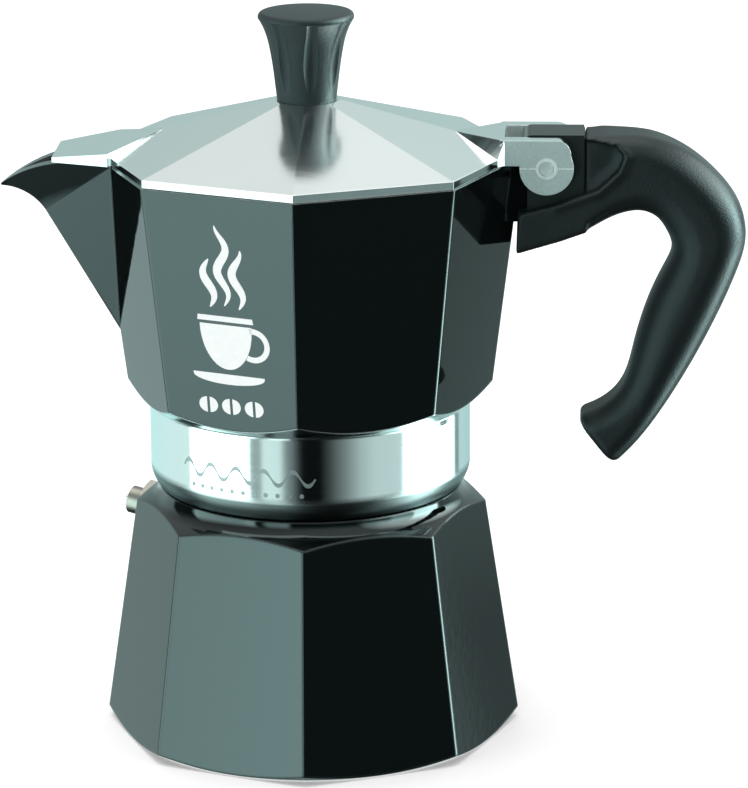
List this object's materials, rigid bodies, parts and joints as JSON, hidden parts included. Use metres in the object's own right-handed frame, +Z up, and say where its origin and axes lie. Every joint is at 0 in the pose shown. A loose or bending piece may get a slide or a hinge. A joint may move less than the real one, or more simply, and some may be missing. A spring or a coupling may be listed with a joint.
{
  "type": "stovetop moka pot",
  "caption": "Eight-sided stovetop moka pot: boiler with safety valve, funnel, screw-on upper chamber with spout, hinged lid and handle.",
  "frame": {"origin": "centre of the flat base, on the pot's axis", "axes": "+Z up along the pot's axis, +X towards the handle, -X towards the spout"},
  "size_m": [0.1616, 0.093, 0.16],
  "materials": {
    "enamelled_body": "gloss black enamel over cast aluminium, bare polished collar",
    "bare_aluminium": "spun satin",
    "polished_lid": "polished casting",
    "black_nylon": "fine satin grain",
    "silicone": "matt white silicone",
    "valve_brass": "machined",
    "valve_washer": "fibre",
    "valve_steel": "bright",
    "screw_steel": "bright zinc"
  },
  "bodies": {
    "boiler": {"boiler": "enamelled_body", "valve_body": "valve_brass", "valve_washer": "valve_washer", "valve_cap": "valve_brass", "valve_spring": "valve_steel"},
    "valve": {"valve_plunger": "valve_steel", "valve_seal": "silicone"},
    "funnel": {"funnel": "bare_aluminium", "funnel_plate": "bare_aluminium"},
    "seal": {"gasket": "silicone", "filter_plate": "bare_aluminium"},
    "collector": {"collector_body": "enamelled_body", "handle": "black_nylon", "handle_screw": "screw_steel", "hinge_pin": "screw_steel"},
    "lid": {"lid": "polished_lid", "knob": "black_nylon", "knob_insert": "valve_brass", "knob_washer": "screw_steel", "knob_screw": "screw_steel"}
  },
  "joints": [
    {"name": "valve_lift", "type": "slide", "parent": "boiler", "child": "valve", "axis": [-0.9228, 0.3598, 0.1382], "range_m": [0, 0.0012], "stiffness_N_per_m": 1200, "springref_m": -0.001, "deforming": ["valve_spring"]},
    {"name": "filter_lift_out", "type": "slide", "parent": "boiler", "child": "funnel", "axis": [0, 0, 1], "range_m": [0, 0.09]},
    {"name": "collector_rise", "type": "slide", "parent": "funnel", "child": "seal", "axis": [0, 0, 1], "range_m": [0, 0.00881]},
    {"name": "collector_unscrew", "type": "hinge", "parent": "seal", "child": "collector", "pos_m": [0, 0, 0.07], "axis": [0, 0, 1], "range_deg": [0, 990]},
    {"name": "lid_hinge", "type": "hinge", "parent": "collector", "child": "lid", "pos_m": [0.0518, 0, 0.1275], "axis": [0, 1, 0], "range_deg": [0, 100]}
  ],
  "couplings": [
    {"joint": "collector_rise", "follows": "collector_unscrew", "m_per_rad": 0.0005093}
  ]
}
